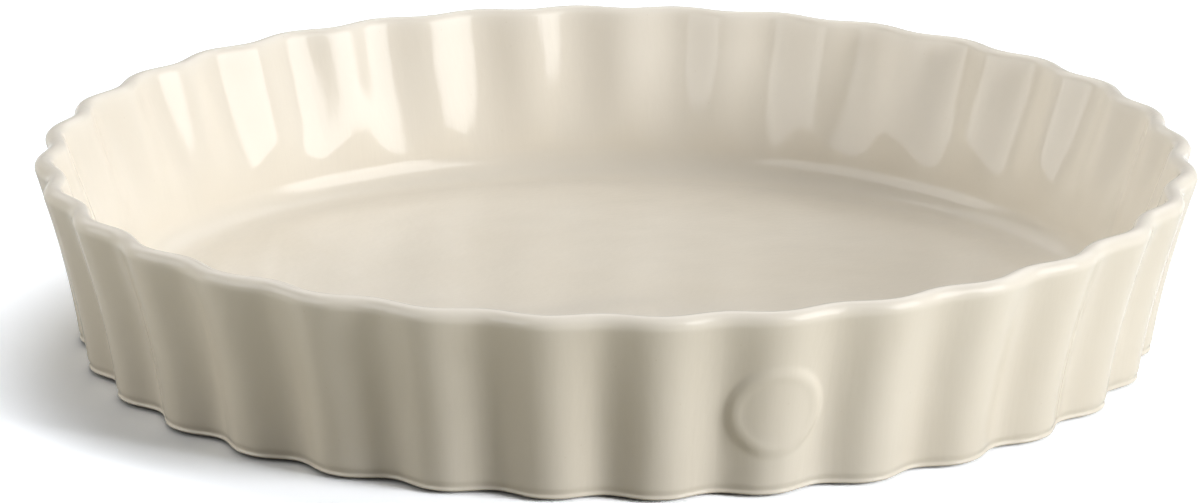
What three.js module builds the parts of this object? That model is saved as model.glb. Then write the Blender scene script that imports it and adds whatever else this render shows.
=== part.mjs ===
import * as THREE from "three";
import { mergeGeometries, mergeVertices } from "three/addons/utils/BufferGeometryUtils.js";

// A round fluted tart dish in glazed stoneware. Millimetres, +Z up. The origin lies on the dish's axis,
// on the surface that it stands on, and the crest of a flute faces -Y.

// Outside, over the glaze and across the crests of the flutes
const rimDiameter = 320;
const baseDiameter = 298; // where the wall runs into the rounded base edge
const dishHeight = 53;
const baseRounding = 5; // radius of the outer base edge
const baseLean = 8; // degrees that the wall leans out above the base edge
const rimLean = 17; // degrees that it leans out below the rim, inside and outside

// Inside
const rimThickness = 5.5; // the rim is rounded over its whole thickness
const wallFootThickness = 7.5; // from the crests to the smooth inside, at the foot of the wall
const floorHeight = 5.6; // top of the floor above the table
const floorFillet = 9; // radius between the floor and the wall
const footLean = 11; // degrees that the inside leans out above this fillet

// Flutes: full depth on the outside and the rim, then down the inside they fade to the smooth fillet
const fluteCount = 32;
const rimFluteDepth = 2.9;
const baseFluteDepth = 4.4;
const fluteSharpness = 2.3; // 2 is an even wave, and more gives broad crests between narrow valleys

// Bare foot ring, and the recess inside it
const footWidth = 9; // flat width at the valleys of the flutes
const recessDepth = 1.2; // also the run of the sloped edge of the recess

// Glaze
const glazeThickness = 0.45; // from the finished surface to the clay
const glazeClearance = 0.03; // hairline between a coat of glaze and the clay that carries it
const glazeLineAngle = -45; // degrees round the base edge, from level to straight down, where the glaze stops
const baseGlazeMargin = 2; // bare clay between the pool of glaze under the floor and the edge of its recess

// Facets
const columnsPerFlute = 6;
const columnsUnderFloor = 96;
const wallBands = 2;
const baseEdgeAngles = [glazeLineAngle, -baseLean];
const rimAngles = [-rimLean, 0, 45, 90, 180 - rimLean]; // through the dish's widest and highest points
const filletAngles = [-footLean, -(footLean + 90) / 2, -90];

// The circles that the section is drawn from
const rimRounding = rimThickness / 2;
const rimCentre = new THREE.Vector2(rimDiameter / 2 - rimRounding, dishHeight - rimRounding);
const baseCentre = new THREE.Vector2(baseDiameter / 2 - baseRounding, baseRounding);
const filletCentre = new THREE.Vector2(
  baseDiameter / 2 - wallFootThickness - floorFillet,
  floorHeight + floorFillet,
);

// A point on a circle, at an angle in degrees
function onCircle(centre, radius, angle) {
  const turn = THREE.MathUtils.degToRad(angle);
  return new THREE.Vector2(Math.cos(turn), Math.sin(turn)).multiplyScalar(radius).add(centre);
}

// The points between the ends of a wall, on a curve with its own lean in degrees at each end
function wall(lower, lowerLean, upper, upperLean) {
  const handle = lower.distanceTo(upper) / 3;
  const curve = new THREE.CubicBezierCurve(
    lower,
    onCircle(lower, handle, 90 - lowerLean),
    onCircle(upper, handle, 270 - upperLean),
    upper,
  );
  return curve.getPoints(wallBands).slice(1, -1);
}

// One station of the section: a point at the crest of a flute, and how deep the flute is there
function station(point, fluteDepth) {
  return { radius: point.x, height: point.y, fluteDepth };
}

// The glazed stretch of the section, from the glaze line up the outside, over the rim and down to the
// middle of the floor. With an inset it is the clay under the glaze, that far inside the finished surface.
function glazedStretch(inset) {
  const baseEdge = baseEdgeAngles.map((angle) => onCircle(baseCentre, baseRounding - inset, angle));
  const rim = rimAngles.map((angle) => onCircle(rimCentre, rimRounding - inset, angle));
  const fillet = filletAngles.map((angle) => onCircle(filletCentre, floorFillet + inset, angle));
  const outside = wall(baseEdge.at(-1), baseLean, rim[0], rimLean);
  const inside = wall(fillet[0], footLean, rim.at(-1), rimLean).reverse();
  const middle = new THREE.Vector2(0, floorHeight - inset);
  const wayAlong = (step) => (step + 1) / wallBands;
  const outsideDepth = (way) => THREE.MathUtils.lerp(baseFluteDepth, rimFluteDepth, way);
  const insideDepth = (way) => rimFluteDepth * (1 - way ** 2); // the way down, slow below the rim
  return [
    ...baseEdge.map((point) => station(point, baseFluteDepth)),
    ...outside.map((point, step) => station(point, outsideDepth(wayAlong(step)))),
    ...rim.map((point) => station(point, rimFluteDepth)),
    ...inside.map((point, step) => station(point, insideDepth(wayAlong(step)))),
    ...fillet.map((point) => station(point, 0)),
    station(middle, 0),
  ];
}

// The bare underside, from the middle of the recess out to the edge of the foot ring
const footOuterRadius = baseCentre.x;
const footInnerRadius = footOuterRadius - baseFluteDepth - footWidth;
const recessRadius = footInnerRadius - recessDepth;
const underside = [
  station(new THREE.Vector2(0, recessDepth), 0),
  station(new THREE.Vector2(recessRadius, recessDepth), 0),
  station(new THREE.Vector2(footInnerRadius, 0), 0),
  station(new THREE.Vector2(footOuterRadius, 0), baseFluteDepth),
];

// Stations carried round the axis, with the flutes pressed in: a point lies in from its crest by the flute's
// depth times the sine of half the flute's angle, raised to the sharpness
function flutedSheet(stations) {
  const columns = fluteCount * columnsPerFlute;
  const profile = stations.map(({ radius, height }) => new THREE.Vector2(radius, height));
  const sheet = new THREE.LatheGeometry(profile, columns);
  const position = sheet.getAttribute("position");
  for (let i = 0; i < position.count; i++) {
    const { radius, height, fluteDepth } = stations[i % stations.length];
    const turn = (2 * Math.PI * Math.floor(i / stations.length)) / columns;
    const valley = Math.abs(Math.sin((fluteCount * turn) / 2)) ** fluteSharpness;
    const pressed = radius - fluteDepth * valley;
    position.setXYZ(i, pressed * Math.sin(turn), height, pressed * Math.cos(turn));
  }
  return sheet;
}

// The same sheet, facing the other way
function turnedOver(sheet) {
  const corners = sheet.getIndex().array;
  for (let i = 0; i < corners.length; i += 3) {
    [corners[i], corners[i + 1]] = [corners[i + 1], corners[i]];
  }
  return sheet;
}

// Sheets that meet at their edges, sewn into one closed body that stands along +Z
function closedBody(sheets) {
  const body = mergeGeometries(sheets);
  body.deleteAttribute("normal");
  body.deleteAttribute("uv");
  body.rotateX(Math.PI / 2);
  const sewn = mergeVertices(body, 1e-3);
  sewn.computeVertexNormals();
  return sewn;
}

function piece(name, geometry, material) {
  const mesh = new THREE.Mesh(geometry, material);
  mesh.name = name;
  return mesh;
}

const claySurface = glazedStretch(glazeThickness);

function clayBody() {
  const bareClay = new THREE.MeshStandardMaterial({ color: 0xcdb899, roughness: 0.85, metalness: 0 });
  return piece("clay_body", closedBody([flutedSheet([...underside, ...claySurface])]), bareClay);
}

// The coat's lower edge is square to the clay, at the glaze line
function glazeCoat() {
  const ivoryGlaze = new THREE.MeshStandardMaterial({ color: 0xe8decb, roughness: 0.12, metalness: 0 });
  const seat = glazedStretch(glazeThickness - glazeClearance);
  const outer = flutedSheet([seat[0], ...glazedStretch(0)]);
  const inner = turnedOver(flutedSheet(seat));
  return piece("glaze_coat", closedBody([outer, inner]), ivoryGlaze);
}

// The thin disc of glaze that lies against the top of the recess
function baseGlaze() {
  const poolGlaze = new THREE.MeshStandardMaterial({ color: 0xe4d9c4, roughness: 0.15, metalness: 0 });
  const poolRadius = recessRadius - baseGlazeMargin;
  const poolBottom = recessDepth - glazeThickness;
  const poolTop = recessDepth - glazeClearance;
  const profile = [
    new THREE.Vector2(0, poolBottom),
    new THREE.Vector2(poolRadius, poolBottom),
    new THREE.Vector2(poolRadius, poolTop),
    new THREE.Vector2(0, poolTop),
  ];
  const pool = new THREE.LatheGeometry(profile, columnsUnderFloor);
  return piece("base_glaze", closedBody([pool]), poolGlaze);
}

const tartDish = new THREE.Group();
tartDish.add(clayBody(), glazeCoat(), baseGlaze());

export default tartDish;
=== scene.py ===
import math
import bpy
import numpy as np
from mathutils import Matrix, Vector


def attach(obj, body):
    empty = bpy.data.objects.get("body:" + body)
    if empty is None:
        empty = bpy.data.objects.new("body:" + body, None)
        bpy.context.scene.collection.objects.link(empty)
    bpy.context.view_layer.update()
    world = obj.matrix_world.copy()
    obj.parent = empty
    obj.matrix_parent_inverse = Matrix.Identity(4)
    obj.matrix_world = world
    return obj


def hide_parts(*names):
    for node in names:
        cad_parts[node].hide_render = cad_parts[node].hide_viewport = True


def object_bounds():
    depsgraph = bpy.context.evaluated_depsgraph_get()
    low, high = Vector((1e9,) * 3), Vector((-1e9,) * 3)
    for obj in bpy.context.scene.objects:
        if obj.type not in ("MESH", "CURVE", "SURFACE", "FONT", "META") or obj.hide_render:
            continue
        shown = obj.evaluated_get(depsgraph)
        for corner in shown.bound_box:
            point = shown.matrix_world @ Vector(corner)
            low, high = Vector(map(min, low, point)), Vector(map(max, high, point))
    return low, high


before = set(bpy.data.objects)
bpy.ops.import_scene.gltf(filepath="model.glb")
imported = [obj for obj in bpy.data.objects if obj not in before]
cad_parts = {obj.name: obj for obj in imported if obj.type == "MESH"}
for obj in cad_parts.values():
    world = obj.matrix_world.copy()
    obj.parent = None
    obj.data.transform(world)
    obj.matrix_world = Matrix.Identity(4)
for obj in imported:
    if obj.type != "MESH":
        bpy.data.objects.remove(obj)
cadLow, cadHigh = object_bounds()
print("frame loaded with", len(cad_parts), "nodes")

# Fluted tart dish, in metres and degrees. Angle 0 is the flute crest that faces -Y.
dish = {
    "rimRadius": (cadHigh.x - cadLow.x) / 2,  # over the crests, from the frame
    "height": cadHigh.z,
    "baseRadius": 0.149,
    "baseRounding": 0.005,
    "baseLean": 8,
    "rimLean": 17,
    "rimThickness": 0.0055,
    "wallFootThickness": 0.0075,
    "floorHeight": 0.0056,
    "floorFillet": 0.009,
    "floorEasing": 0.0012,  # how gently the fillet runs out into the floor
    "floorEdge": 0.006,  # width of the strip beside the fillet where the floor isn't level yet
    "footLean": 11,
    "fluteCount": 32,
    "rimFluteDepth": 0.0029,
    "baseFluteDepth": 0.0044,
    "depthEase": 2.5,  # 1 loses depth evenly up the outside, more loses it mostly below the rim
    "rimSharpness": 2.15,  # 2 is an even wave, more gives broad crests between narrow valleys
    "baseSharpness": 2.4,
}

# Plain disc raised on the outside, centred on the crest that faces -Y
roundel = {
    "radius": 0.0138,
    "height": 0.0245,  # of its middle above the table
    "raise": 0.0003,
    "flatten": 0.24,  # share of the flutes that the disc levels out
    "edge": 0.0026,  # width of its soft edge
    "lip": 0.00012,  # rounded border that stands over the face
    "lipWidth": 0.0010,
}

# Roll of glaze that gathers round the base, just above the bare foot
glazeRoll = {
    "reach": 0.0012,
    "height": 0.0011,
    "width": 0.0008,
}

rimRounding = dish["rimThickness"] / 2
rimCentre = np.array([dish["rimRadius"] - rimRounding, dish["height"] - rimRounding])
baseCentre = np.array([dish["baseRadius"] - dish["baseRounding"], dish["baseRounding"]])
filletCentre = np.array([
    dish["baseRadius"] - dish["wallFootThickness"] - dish["floorFillet"],
    dish["floorHeight"] + dish["floorFillet"],
])


# centre plus radius times the cosine and sine of evenly spaced angles
def arcPoints(centre, radius, fromAngle, toAngle, count):
    angle = np.radians(np.linspace(fromAngle, toAngle, count))
    return centre + radius * np.stack([np.cos(angle), np.sin(angle)], 1)


# cubic curve between two ends, which leaves each end at its own lean from upright
def wallPoints(lower, lowerLean, upper, upperLean, count):
    handle = np.linalg.norm(upper - lower) / 3
    lowLean, highLean = math.radians(lowerLean), math.radians(upperLean)
    lowHandle = lower + handle * np.array([math.sin(lowLean), math.cos(lowLean)])
    highHandle = upper - handle * np.array([math.sin(highLean), math.cos(highLean)])
    t = np.linspace(0, 1, count)[:, None]
    return ((1 - t) ** 3 * lower + 3 * t * (1 - t) ** 2 * lowHandle
            + 3 * t ** 2 * (1 - t) * highHandle + t ** 3 * upper)


# height = floor + R - root(R^2 - x^2), where x is how far out a point lies past the fillet's start, with
# the corner at 0 rounded off: easing * log(1 + exp(x / easing))
def easedFloor(radius, inset):
    easing = dish["floorEasing"]
    fillet = dish["floorFillet"] + inset
    out = np.minimum(easing * np.log1p(np.exp((radius - filletCentre[0]) / easing)), fillet)
    height = dish["floorHeight"] - inset + fillet - np.sqrt(fillet ** 2 - out ** 2)
    return np.stack([radius, height], 1)


# a stretch of the section: its points, with the depth and sharpness of the flutes there and the side of the
# wall, 1 for outside, 0 for the rim and -1 for inside
def stretch(points, depth, sharpness, side):
    count = len(points)
    return {
        "points": points,
        "depth": np.broadcast_to(depth, count),
        "sharpness": np.broadcast_to(sharpness, count),
        "side": np.full(count, float(side)),
    }


def joinStretches(stretches):
    return {key: np.concatenate([part[key] for part in stretches]) for key in stretches[0]}


# section through a flute's crest, set in by inset from the finished surface: from the glaze line round the
# base edge, up the outside, over the rim, down the inside and through the fillet to the floor's middle
def glazedSection(inset, rows, glazeLine):
    baseEdge = arcPoints(
        baseCentre, dish["baseRounding"] - inset, glazeLine, -dish["baseLean"], rows["baseEdge"])
    rim = arcPoints(rimCentre, rimRounding - inset, -dish["rimLean"], 180 - dish["rimLean"], rows["rim"])
    fillet = arcPoints(filletCentre, dish["floorFillet"] + inset, -dish["footLean"], -90, rows["fillet"])
    outside = wallPoints(baseEdge[-1], dish["baseLean"], rim[0], dish["rimLean"], rows["outside"])
    inside = wallPoints(fillet[0], dish["footLean"], rim[-1], dish["rimLean"], rows["inside"])[::-1]
    levelRadius = filletCentre[0] - dish["floorEdge"]
    floorRadius = np.concatenate([
        np.linspace(filletCentre[0], levelRadius, rows["floorEdge"]),
        np.linspace(levelRadius, 0, rows["floor"])[1:],
    ])
    up = np.linspace(0, 1, rows["outside"])
    down = np.linspace(0, 1, rows["inside"])
    sharpnessUp = dish["baseSharpness"] + (dish["rimSharpness"] - dish["baseSharpness"]) * up
    depthLost = dish["baseFluteDepth"] - dish["rimFluteDepth"]
    depthUp = dish["baseFluteDepth"] - depthLost * up ** dish["depthEase"]
    depthDown = dish["rimFluteDepth"] * (1 - down ** 2)
    return joinStretches([
        stretch(baseEdge[:-1], dish["baseFluteDepth"], dish["baseSharpness"], 1),
        stretch(outside[:-1], depthUp[:-1], sharpnessUp[:-1], 1),
        stretch(rim[:-1], dish["rimFluteDepth"], dish["rimSharpness"], 0),
        stretch(inside[:-1], depthDown[:-1], dish["rimSharpness"], -1),
        stretch(easedFloor(fillet[:-1, 0], inset), 0, dish["rimSharpness"], -1),
        stretch(easedFloor(floorRadius, inset), 0, dish["rimSharpness"], -1),
    ])


# smooth ramp from 0 at low to 1 at high
def smoothRamp(value, low, high):
    t = np.clip((value - low) / (high - low), 0, 1)
    return t * t * (3 - 2 * t)


# bell curve: 1 at no distance, 0.37 at the width
def bell(distance, width):
    return np.exp(-(distance / width) ** 2)


# |sin(half the flute angle)| ^ sharpness: 0 on a flute's crest and 1 in its valley
def fluteValley(section, angle):
    halfWave = np.abs(np.sin(dish["fluteCount"] * angle / 2))[None, :]
    return halfWave ** section["sharpness"][:, None]


# radius = crest radius - depth * valley. Raised rows add the disc, which stands out and levels the flutes in
# part, times a mask that falls to 0 over its soft edge; the disc's lip, a bell curve of the distance from
# its middle; and the roll of glaze, a bell curve of the height.
def pressFlutes(section, angle, raised):
    crest, height = section["points"][:, :1], section["points"][:, 1:]
    hollow = section["depth"][:, None] * fluteValley(section, angle)
    across = crest * (np.mod(angle + math.pi, 2 * math.pi) - math.pi)[None, :]
    fromMiddle = np.hypot(across, height - roundel["height"])
    faceRadius = roundel["radius"] - roundel["edge"]
    disc = 1 - smoothRamp(fromMiddle, faceRadius, roundel["radius"])
    lip = bell(fromMiddle - (faceRadius - roundel["lipWidth"]), roundel["lipWidth"])
    roll = bell(height - glazeRoll["height"], glazeRoll["width"])
    added = disc * (roundel["raise"] + roundel["flatten"] * hollow)
    added = added + roundel["lip"] * lip + glazeRoll["reach"] * roll
    radius = crest - hollow + raised[:, None] * added
    return radius, np.broadcast_to(height, radius.shape)


# evenly spaced columns, with more of them across the flute that carries the roundel
def columnAngles(perFlute, acrossRoundel):
    half = math.pi / dish["fluteCount"]
    fine = np.linspace(-half, half, acrossRoundel, endpoint=False)
    rest = np.linspace(half, 2 * math.pi - half, perFlute * (dish["fluteCount"] - 1), endpoint=False)
    return np.concatenate([fine, rest])


# surface turned about the axis: x = r sin(angle), y = -r cos(angle), z = height, with the first and the last
# row drawn together into poles on the axis
def turnedPiece(name, radius, height, angle, sharpAngle):
    rows, columns = radius.shape
    rings = np.stack([radius * np.sin(angle), -radius * np.cos(angle), height], 2)[1:-1].reshape(-1, 3)
    poles = np.array([[0, 0, height[0, 0]], [0, 0, height[-1, 0]]])
    vertices = np.concatenate([rings, poles])
    here = np.arange(columns)
    following = (here + 1) % columns
    base = np.arange(rows - 3)[:, None] * columns
    quads = np.stack([base + here, base + following, base + columns + following, base + columns + here], 2)
    lastRow = (rows - 3) * columns
    firstFan = np.stack([np.full(columns, len(rings)), following, here], 1)
    lastFan = np.stack([lastRow + here, lastRow + following, np.full(columns, len(rings) + 1)], 1)
    faces = quads.reshape(-1, 4).tolist() + firstFan.tolist() + lastFan.tolist()
    mesh = bpy.data.meshes.new(name)
    mesh.from_pydata(vertices.tolist(), [], faces)
    mesh.shade_smooth()
    mesh.set_sharp_from_angle(angle=math.radians(sharpAngle))
    piece = bpy.data.objects.new(name, mesh)
    bpy.context.scene.collection.objects.link(piece)
    print(name, "has", len(vertices), "vertices")
    return piece


# one value per vertex, in the order that turnedPiece lays them: rings, then the two poles
def paintPoints(piece, name, values):
    layer = piece.data.attributes.new(name, "FLOAT", "POINT")
    flat = np.concatenate([values[1:-1].ravel(), values[0, :1], values[-1, :1]])
    layer.data.foreach_set("value", flat.astype(np.float32))


# Glaze: a closed shell from the axis out along its seat, and back to the axis over its finished surface
glaze = {
    "thickness": 0.00042,
    "lineAngle": -66,  # round the base edge, where the glaze stops
    "columnsPerFlute": 16,
    "columnsAcrossRoundel": 64,
    "rows": {"baseEdge": 22, "outside": 64, "rim": 15, "inside": 27,
             "fillet": 16, "floorEdge": 9, "floor": 6},
    "seatRows": {"baseEdge": 2, "outside": 4, "rim": 5, "inside": 4,
                 "fillet": 5, "floorEdge": 3, "floor": 2},
    "sharpAngle": 50,
    "thinRim": 0.004,  # how far down from the rim it is thin
    "thinFlutes": 0.5,  # how much it thins on the flutes
    "cornerOut": 0.006,  # middle of the thick glaze in the corner: out from the fillet's centre
    "cornerHeight": 0.0105,  # and above the table
    "cornerReach": 0.009,
    "thickCorner": 0.8,
}


# -1 where the glaze is thick to 1 where it is thin: a bell curve of the height at the rim, plus the flutes,
# thin on the crests outside and in the valleys inside, less a bell curve of the distance from the corner
def glazeThinness(section, angle):
    radius, height = section["points"][:, :1], section["points"][:, 1:]
    side, depth = section["side"][:, None], section["depth"][:, None]
    onRim = bell(height - dish["height"], glaze["thinRim"])
    onFlutes = side * depth / dish["baseFluteDepth"] * (0.5 - fluteValley(section, angle))
    fromCorner = np.hypot(radius - filletCentre[0] - glaze["cornerOut"], height - glaze["cornerHeight"])
    inCorner = (side < 0) * bell(fromCorner, glaze["cornerReach"])
    return np.clip(onRim + glaze["thinFlutes"] * onFlutes - glaze["thickCorner"] * inCorner, -1, 1)


def makeGlazeCoat():
    angle = columnAngles(glaze["columnsPerFlute"], glaze["columnsAcrossRoundel"])
    seat = glazedSection(glaze["thickness"], glaze["seatRows"], glaze["lineAngle"])
    finished = glazedSection(0, glaze["rows"], glaze["lineAngle"])
    section = joinStretches([{key: seat[key][::-1] for key in seat}, finished])
    raised = np.concatenate([np.zeros_like(seat["side"]), finished["side"] > 0])
    radius, height = pressFlutes(section, angle, raised)
    piece = turnedPiece("glazeCoat", radius, height, angle, glaze["sharpAngle"])
    paintPoints(piece, "glazeThin", glazeThinness(section, angle))
    return piece


# Bare clay: recess under the floor, ground foot ring, and the body hidden under the glaze
clay = {
    "inset": 0.00045,  # from the glaze's finished surface
    "footWidth": 0.009,
    "recessDepth": 0.0012,
    "footRounding": 0.0006,
    "innerEdge": {"fromAngle": 225, "toAngle": 270, "count": 4},  # rounded edges of the foot ring
    "outerEdge": {"fromAngle": -90, "toAngle": -50, "count": 5},
    "columns": 512,
    "rows": {"baseEdge": 3, "outside": 5, "rim": 6, "inside": 5,
             "fillet": 6, "floorEdge": 3, "floor": 2},
    "sharpAngle": 40,
}
footInnerRadius = baseCentre[0] - dish["baseFluteDepth"] - clay["footWidth"]
recessRadius = footInnerRadius - clay["recessDepth"]


def makeClayBody():
    angle = np.linspace(0, 2 * math.pi, clay["columns"], endpoint=False)
    r = clay["footRounding"]
    recess = np.array([[0, clay["recessDepth"]], [recessRadius, clay["recessDepth"]]])
    innerEdge = arcPoints(np.array([footInnerRadius + r, r]), r, **clay["innerEdge"])
    outerEdge = arcPoints(np.array([baseCentre[0] - r, r]), r, **clay["outerEdge"])
    section = joinStretches([
        stretch(recess, 0, dish["baseSharpness"], 1),
        stretch(innerEdge, 0, dish["baseSharpness"], 1),
        stretch(outerEdge, dish["baseFluteDepth"], dish["baseSharpness"], 1),
        glazedSection(clay["inset"], clay["rows"], glaze["lineAngle"]),
    ])
    radius, height = pressFlutes(section, angle, np.zeros_like(section["side"]))
    return turnedPiece("clayBody", radius, height, angle, clay["sharpAngle"])


# Pool of glaze under the floor: a thin disc with a rounded edge
pool = {
    "margin": 0.002,  # bare clay round it
    "thickness": 0.00042,
    "gap": 0.00003,  # hairline between it and the clay
    "columns": 256,
    "edgeRows": 6,
    "sharpAngle": 50,
}


def makeBaseGlaze():
    angle = np.linspace(0, 2 * math.pi, pool["columns"], endpoint=False)
    top = clay["recessDepth"] - pool["gap"]
    bottom = top - pool["thickness"]
    edge = recessRadius - pool["margin"]
    r = pool["thickness"]
    corner = arcPoints(np.array([edge - r, top]), r, -90, 0, pool["edgeRows"])
    points = np.concatenate([[[0, bottom], [edge / 2, bottom]], corner, [[0, top]]])
    radius = points[:, :1] * np.ones_like(angle)
    height = points[:, 1:] * np.ones_like(angle)
    return turnedPiece("baseGlaze", radius, height, angle, pool["sharpAngle"])


glazeCoat = makeGlazeCoat()
clayBody = makeClayBody()
baseGlaze = makeBaseGlaze()
print("pieces made")


def addNode(tree, kind, values=None, **settings):
    node = tree.nodes.new(kind)
    for name, value in settings.items():
        setattr(node, name, value)
    for name, value in (values or {}).items():
        node.inputs[name].default_value = value
    return node


def newGroup(name, inputs, output):
    tree = bpy.data.node_groups.new(name, "ShaderNodeTree")
    for label, value in inputs.items():
        socket = tree.interface.new_socket(label, in_out="INPUT", socket_type="NodeSocketFloat")
        socket.default_value = value
    tree.interface.new_socket(output, in_out="OUTPUT", socket_type="NodeSocketFloat")
    return tree, tree.nodes.new("NodeGroupInput"), tree.nodes.new("NodeGroupOutput")


# slow cloudy variation, 0 to 1
def makeMottleGroup():
    tree, inside, outside = newGroup("mottle", {"Scale": 20, "Detail": 3}, "Mottle")
    place = addNode(tree, "ShaderNodeTexCoord")
    noise = addNode(tree, "ShaderNodeTexNoise", {"Roughness": 0.55})
    tree.links.new(place.outputs["Object"], noise.inputs["Vector"])
    tree.links.new(inside.outputs["Scale"], noise.inputs["Scale"])
    tree.links.new(inside.outputs["Detail"], noise.inputs["Detail"])
    tree.links.new(noise.outputs["Fac"], outside.inputs["Mottle"])
    return tree


# small round specks: 1 in the middle of a speck, 0 between them
def makeSpeckGroup():
    tree, inside, outside = newGroup("specks", {"Scale": 300, "Size": 0.2}, "Specks")
    place = addNode(tree, "ShaderNodeTexCoord")
    cells = addNode(tree, "ShaderNodeTexVoronoi", {"Randomness": 1.0})
    ramp = addNode(tree, "ShaderNodeMapRange", {"From Min": 0.0, "To Min": 1.0, "To Max": 0.0})
    tree.links.new(place.outputs["Object"], cells.inputs["Vector"])
    tree.links.new(inside.outputs["Scale"], cells.inputs["Scale"])
    tree.links.new(cells.outputs["Distance"], ramp.inputs["Value"])
    tree.links.new(inside.outputs["Size"], ramp.inputs["From Max"])
    tree.links.new(ramp.outputs["Result"], outside.inputs["Specks"])
    return tree


mottleGroup = makeMottleGroup()
speckGroup = makeSpeckGroup()


def placeGroup(tree, group, values):
    return addNode(tree, "ShaderNodeGroup", values, node_tree=group).outputs[0]


# a link where the value comes from another node, and otherwise a fixed value
def feed(tree, value, socket):
    if isinstance(value, bpy.types.NodeSocket):
        tree.links.new(value, socket)
    else:
        socket.default_value = value


def mixColours(tree, factor, first, second):
    node = addNode(tree, "ShaderNodeMix", data_type="RGBA")
    tree.links.new(factor, node.inputs["Factor"])
    feed(tree, first, node.inputs[6])  # this node's colour sockets are inputs 6 and 7 and output 2
    feed(tree, second, node.inputs[7])
    return node.outputs[2]


def mapRange(tree, value, fromMin, fromMax, toMin, toMax):
    node = addNode(tree, "ShaderNodeMapRange", {
        "From Min": fromMin, "From Max": fromMax, "To Min": toMin, "To Max": toMax})
    tree.links.new(value, node.inputs["Value"])
    return node.outputs["Result"]


def calculate(tree, operation, first, second):
    node = addNode(tree, "ShaderNodeMath", operation=operation)
    feed(tree, first, node.inputs[0])
    feed(tree, second, node.inputs[1])
    return node.outputs[0]


def addBump(tree, height, distance, strength=1.0):
    node = addNode(tree, "ShaderNodeBump", {"Strength": strength, "Distance": distance})
    tree.links.new(height, node.inputs["Height"])
    return node


def newMaterial(name):
    material = bpy.data.materials.new(name)
    material.use_nodes = True
    tree = material.node_tree
    return material, tree, tree.nodes["Principled BSDF"]


# Ivory glaze: glossy, cloudy cream with a few specks, paler where it is thin and richer where it is thick,
# with a slow waver and fine runs down the wall
glazeLook = {
    "cream": (0.788, 0.738, 0.656, 1),
    "paler": (0.818, 0.772, 0.698, 1),
    "richer": (0.762, 0.706, 0.616, 1),
    "speck": (0.50, 0.40, 0.28, 1),
    "cloud": {"Scale": 14, "Detail": 3},
    "cloudSpan": (0.35, 0.65),  # of the clouding, from richer to cream
    "thinShare": 0.7,  # how far thin and thick glaze change colour
    "specks": {"Scale": 160, "Size": 0.05},
    "speckShare": 0.25,
    "sheen": {"Scale": 45, "Detail": 4},
    "sheenSpan": (0.3, 0.7),
    "roughness": (0.06, 0.11),
    "bending": 1.46,  # index of refraction
    "waver": {"Scale": 55, "Detail": 1},
    "waverHeight": 0.00035,
    "runs": {"Scale": 420, "Detail": 2},
    "runsDrawn": (1, 1, 0.06),  # long down the wall, narrow across it
    "runsHeight": 0.00005,
}


def makeGlazeMaterial(name, thinLayer):
    material, tree, shader = newMaterial(name)
    cloud = placeGroup(tree, mottleGroup, glazeLook["cloud"])
    cloud = mapRange(tree, cloud, *glazeLook["cloudSpan"], 0, 1)
    colour = mixColours(tree, cloud, glazeLook["richer"], glazeLook["cream"])
    if thinLayer:
        layer = addNode(tree, "ShaderNodeAttribute", attribute_name=thinLayer).outputs["Fac"]
        thin = mapRange(tree, layer, 0, 1, 0, glazeLook["thinShare"])
        thick = mapRange(tree, layer, 0, -1, 0, glazeLook["thinShare"])
        colour = mixColours(tree, thin, colour, glazeLook["paler"])
        colour = mixColours(tree, thick, colour, glazeLook["richer"])
    specks = placeGroup(tree, speckGroup, glazeLook["specks"])
    specks = mapRange(tree, specks, 0, 1, 0, glazeLook["speckShare"])
    colour = mixColours(tree, specks, colour, glazeLook["speck"])
    tree.links.new(colour, shader.inputs["Base Color"])
    sheen = placeGroup(tree, mottleGroup, glazeLook["sheen"])
    roughness = mapRange(tree, sheen, *glazeLook["sheenSpan"], *glazeLook["roughness"])
    tree.links.new(roughness, shader.inputs["Roughness"])
    shader.inputs["IOR"].default_value = glazeLook["bending"]
    place = addNode(tree, "ShaderNodeTexCoord")
    drawn = addNode(tree, "ShaderNodeMapping", {"Scale": glazeLook["runsDrawn"]})
    runs = addNode(tree, "ShaderNodeTexNoise", glazeLook["runs"])
    tree.links.new(place.outputs["Object"], drawn.inputs["Vector"])
    tree.links.new(drawn.outputs[0], runs.inputs["Vector"])
    waver = placeGroup(tree, mottleGroup, glazeLook["waver"])
    slow = addBump(tree, waver, glazeLook["waverHeight"])
    fine = addBump(tree, runs.outputs["Fac"], glazeLook["runsHeight"])
    tree.links.new(slow.outputs["Normal"], fine.inputs["Normal"])
    tree.links.new(fine.outputs["Normal"], shader.inputs["Normal"])
    return material


# Bare stoneware: sandy, matt, with darker grog and a fine tooth
clayLook = {
    "sand": (0.60, 0.475, 0.33, 1),
    "pale": (0.68, 0.56, 0.41, 1),
    "grog": (0.36, 0.25, 0.16, 1),
    "cloud": {"Scale": 60, "Detail": 5},
    "cloudSpan": (0.3, 0.7),  # of the clouding, from sand to pale and from rough to smoother
    "specks": {"Scale": 420, "Size": 0.22},
    "speckShare": 0.55,
    "roughness": (0.92, 0.75),
    "grain": {"Scale": 900, "Detail": 4},
    "tooth": 0.00025,
    "toothStrength": 0.6,
}


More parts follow.
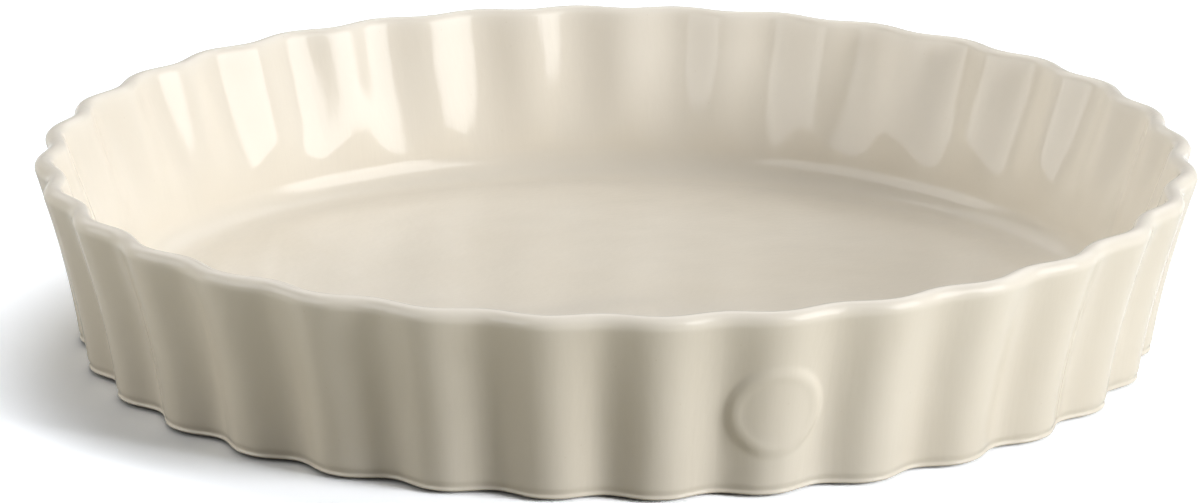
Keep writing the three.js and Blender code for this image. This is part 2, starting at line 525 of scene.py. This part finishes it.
def makeClayMaterial():
    material, tree, shader = newMaterial("bareClay")
    cloud = placeGroup(tree, mottleGroup, clayLook["cloud"])
    pale = mapRange(tree, cloud, *clayLook["cloudSpan"], 0, 1)
    colour = mixColours(tree, pale, clayLook["sand"], clayLook["pale"])
    specks = placeGroup(tree, speckGroup, clayLook["specks"])
    specks = mapRange(tree, specks, 0, 1, 0, clayLook["speckShare"])
    colour = mixColours(tree, specks, colour, clayLook["grog"])
    tree.links.new(colour, shader.inputs["Base Color"])
    roughness = mapRange(tree, cloud, *clayLook["cloudSpan"], *clayLook["roughness"])
    tree.links.new(roughness, shader.inputs["Roughness"])
    grain = placeGroup(tree, mottleGroup, clayLook["grain"])
    tooth = addBump(tree, grain, clayLook["tooth"], clayLook["toothStrength"])
    tree.links.new(tooth.outputs["Normal"], shader.inputs["Normal"])
    return material


glazeCoat.data.materials.append(makeGlazeMaterial("ivoryGlaze", "glazeThin"))
baseGlaze.data.materials.append(makeGlazeMaterial("poolGlaze", None))
clayBody.data.materials.append(makeClayMaterial())
print("materials made")

for piece, node, slot in (
    (glazeCoat, "glaze_coat", "ivory_glaze"),
    (clayBody, "clay_body", "bare_clay"),
    (baseGlaze, "base_glaze", "ivory_glaze"),
):
    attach(piece, "root")
    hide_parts(node)

# Camera: long lens from a little above the rim, left of the roundel
cameraView = {
    "azimuth": -15.78,
    "elevation": 16.59,
    "distance": 1.749,
    "lens": 189.4,
    "sensor": 36,
    "roll": 0.235,
    "aimLeft": 0.0044,  # the picture's middle, left of and below the dish's middle
    "aimDown": 0.0033,
    "farthest": 50,
}
dishMiddle = Vector((0, 0, dish["height"] / 2))


# direction from the dish, round from -Y towards +X and up from level
def towards(azimuth, elevation):
    a, e = math.radians(azimuth), math.radians(elevation)
    return Vector((math.sin(a) * math.cos(e), -math.cos(a) * math.cos(e), math.sin(e)))


def makeCamera():
    camera = bpy.data.objects.new("camera", bpy.data.cameras.new("camera"))
    bpy.context.scene.collection.objects.link(camera)
    back = towards(cameraView["azimuth"], cameraView["elevation"])
    right = Vector((0, 0, 1)).cross(back).normalized()
    up = back.cross(right)
    place = dishMiddle + back * cameraView["distance"]
    aim = dishMiddle - right * cameraView["aimLeft"] - up * cameraView["aimDown"]
    back = (place - aim).normalized()
    right = Vector((0, 0, 1)).cross(back).normalized()
    right = Matrix.Rotation(math.radians(cameraView["roll"]), 3, back) @ right
    turn = Matrix((right, back.cross(right), back)).transposed()
    camera.matrix_world = Matrix.Translation(place) @ turn.to_4x4()
    camera.data.lens = cameraView["lens"]
    camera.data.sensor_width = cameraView["sensor"]
    camera.data.clip_end = cameraView["farthest"]
    bpy.context.scene.camera = camera


makeCamera()

# Soft boxes: degrees round to the right of the camera and above the table, how many degrees wide and high
# they look from the dish, and the soft share of their half width. A mirrored box is a card that only shows
# in reflections, the others are glows that only light, and each reaches what "on" names.
boxDistance = 3.2  # from the dish's middle
softBoxes = {
    "keyCard": {"side": 66, "above": 27, "wide": 48, "high": 50, "soft": 0.3,
                "radiance": 4.1, "colour": (1, 1, 1), "mirrored": True, "on": "both"},
    "keyGlow": {"side": 61, "above": 18, "wide": 28, "high": 26, "soft": 0.5,
                "radiance": 20.4, "colour": (1, 1, 0.985), "mirrored": False, "on": "dish"},
    "fillCard": {"side": -71, "above": 23, "wide": 68, "high": 42, "soft": 0.2,
                 "radiance": 2.1, "colour": (1, 1, 1), "mirrored": True, "on": "both"},
    "fillGlow": {"side": -98, "above": 16, "wide": 50, "high": 28, "soft": 0.3,
                 "radiance": 3.7, "colour": (1, 0.965, 0.87), "mirrored": False, "on": "dish"},
    "leftGlow": {"side": -90, "above": 60, "wide": 44, "high": 40, "soft": 0.3,
                 "radiance": 1.0, "colour": (1, 0.99, 0.97), "mirrored": False, "on": "dish"},
    "highGlow": {"side": 155, "above": 60, "wide": 44, "high": 40, "soft": 0.3,
                 "radiance": 2.35, "colour": (1, 1, 0.99), "mirrored": False, "on": "dish"},
    "skyCard": {"side": 180, "above": 46, "wide": 110, "high": 44, "soft": 0.5,
                "radiance": 1.0, "colour": (1, 1, 1), "mirrored": True, "on": "dish"},
    "backGlow": {"side": 155, "above": 64, "wide": 50, "high": 36, "soft": 0.2,
                 "radiance": 6.4, "colour": (1, 1, 1), "mirrored": False, "on": "floor"},
    "floorGlow": {"side": 63, "above": 18, "wide": 28, "high": 26, "soft": 0.5,
                  "radiance": 42.0, "colour": (1, 1, 1), "mirrored": False, "on": "floor"},
}


# brightness falls off towards the edges of the box, over the soft share of its half width
def softenEdges(lamp, soft):
    lamp.use_nodes = True
    tree = lamp.node_tree
    place = addNode(tree, "ShaderNodeNewGeometry")
    parts = addNode(tree, "ShaderNodeSeparateXYZ")
    tree.links.new(place.outputs["Parametric"], parts.inputs[0])
    ramps = []
    for axis in ("X", "Y"):
        fromEdge = calculate(tree, "PINGPONG", calculate(tree, "MULTIPLY", parts.outputs[axis], 2.0), 1.0)
        ramp = addNode(tree, "ShaderNodeMapRange", {"From Max": soft}, interpolation_type="SMOOTHSTEP")
        tree.links.new(fromEdge, ramp.inputs["Value"])
        ramps.append(ramp.outputs["Result"])
    both = calculate(tree, "MULTIPLY", *ramps)
    tree.links.new(both, tree.nodes["Emission"].inputs["Strength"])


# a lamp that lights these objects and no others
def lightOnly(holder, objects):
    lit = bpy.data.collections.new(holder.name)
    for lone in objects:
        lit.objects.link(lone)
    holder.light_linking.receiver_collection = lit


# width of a box that looks this many degrees wide from the dish
def boxWidth(degrees):
    return 2 * boxDistance * math.tan(math.radians(degrees / 2))


def makeSoftBoxes(floor):
    targets = {"dish": [glazeCoat, clayBody, baseGlaze], "floor": [floor]}
    for name, box in softBoxes.items():
        lamp = bpy.data.lights.new(name, "AREA")
        lamp.shape = "RECTANGLE"
        lamp.size = boxWidth(box["wide"])
        lamp.size_y = boxWidth(box["high"])
        lamp.energy = box["radiance"] * math.pi * lamp.size * lamp.size_y
        lamp.color = box["colour"]
        softenEdges(lamp, box["soft"])
        holder = bpy.data.objects.new(name, lamp)
        bpy.context.scene.collection.objects.link(holder)
        away = towards(cameraView["azimuth"] + box["side"], box["above"])
        holder.location = dishMiddle + away * boxDistance
        holder.rotation_euler = away.to_track_quat("Z", "Y").to_euler()
        holder.visible_camera = False
        holder.visible_diffuse = not box["mirrored"]
        holder.visible_glossy = box["mirrored"]
        if box["on"] in targets:
            lightOnly(holder, targets[box["on"]])


# Surroundings: a dim room whose floor and horizon show white
room = {
    "light": 0.27,
    "colour": (1, 0.99, 0.97, 1),
    "white": (1, 1, 1, 1),
    "floorSize": 14,
    "floorBounce": (0.255, 0.240, 0.182, 1),  # the floor as it lights the dish
    "floorShown": (1.20, 1.24, 1.31, 1),  # the floor as it is seen, white once lit
    "mirrored": 0.4,  # share of the white floor and horizon in reflections
    "horizon": (0.08, 0.45),  # height of a reflection's direction, where that share starts to fade and ends
}


# 1 for what the camera sees straight, and a share for what it sees in reflections or through glass
def whiteShare(tree, mirroredShare):
    path = addNode(tree, "ShaderNodeLightPath")
    mirrored = calculate(
        tree, "MAXIMUM", path.outputs["Is Glossy Ray"], path.outputs["Is Transmission Ray"])
    mirrored = calculate(tree, "MULTIPLY", mirrored, mirroredShare)
    return calculate(tree, "MAXIMUM", mirrored, path.outputs["Is Camera Ray"])


# two shaders mixed into the output of a world or a material
def mixInto(tree, endKind, factor, first, second):
    mix = addNode(tree, "ShaderNodeMixShader")
    end = addNode(tree, endKind)
    tree.links.new(factor, mix.inputs[0])
    tree.links.new(first.outputs[0], mix.inputs[1])
    tree.links.new(second.outputs[0], mix.inputs[2])
    tree.links.new(mix.outputs[0], end.inputs["Surface"])


def makeRoom():
    world = bpy.data.worlds.new("room")
    bpy.context.scene.world = world
    world.use_nodes = True
    tree = world.node_tree
    tree.nodes.clear()
    lit = addNode(tree, "ShaderNodeBackground", {"Color": room["colour"], "Strength": room["light"]})
    shown = addNode(tree, "ShaderNodeBackground", {"Color": room["white"], "Strength": 1.0})
    direction = addNode(tree, "ShaderNodeTexCoord")
    parts = addNode(tree, "ShaderNodeSeparateXYZ")
    tree.links.new(direction.outputs["Generated"], parts.inputs[0])
    lowDown = mapRange(tree, parts.outputs["Z"], *room["horizon"], room["mirrored"], 0)
    mixInto(tree, "ShaderNodeOutputWorld", whiteShare(tree, lowDown), lit, shown)


def makeFloor():
    half = room["floorSize"] / 2
    corners = [(-half, -half, 0), (half, -half, 0), (half, half, 0), (-half, half, 0)]
    mesh = bpy.data.meshes.new("floor")
    mesh.from_pydata(corners, [], [(0, 1, 2, 3)])
    floor = bpy.data.objects.new("floor", mesh)
    bpy.context.scene.collection.objects.link(floor)
    material = bpy.data.materials.new("paleFloor")
    material.use_nodes = True
    tree = material.node_tree
    tree.nodes.clear()
    bounce = addNode(tree, "ShaderNodeBsdfDiffuse", {"Color": room["floorBounce"]})
    shown = addNode(tree, "ShaderNodeBsdfDiffuse", {"Color": room["floorShown"]})
    mixInto(tree, "ShaderNodeOutputMaterial", whiteShare(tree, room["mirrored"]), bounce, shown)
    mesh.materials.append(material)
    return floor


makeRoom()
makeSoftBoxes(makeFloor())
bpy.context.scene.view_settings.view_transform = "Standard"
print("camera, lights and floor made")
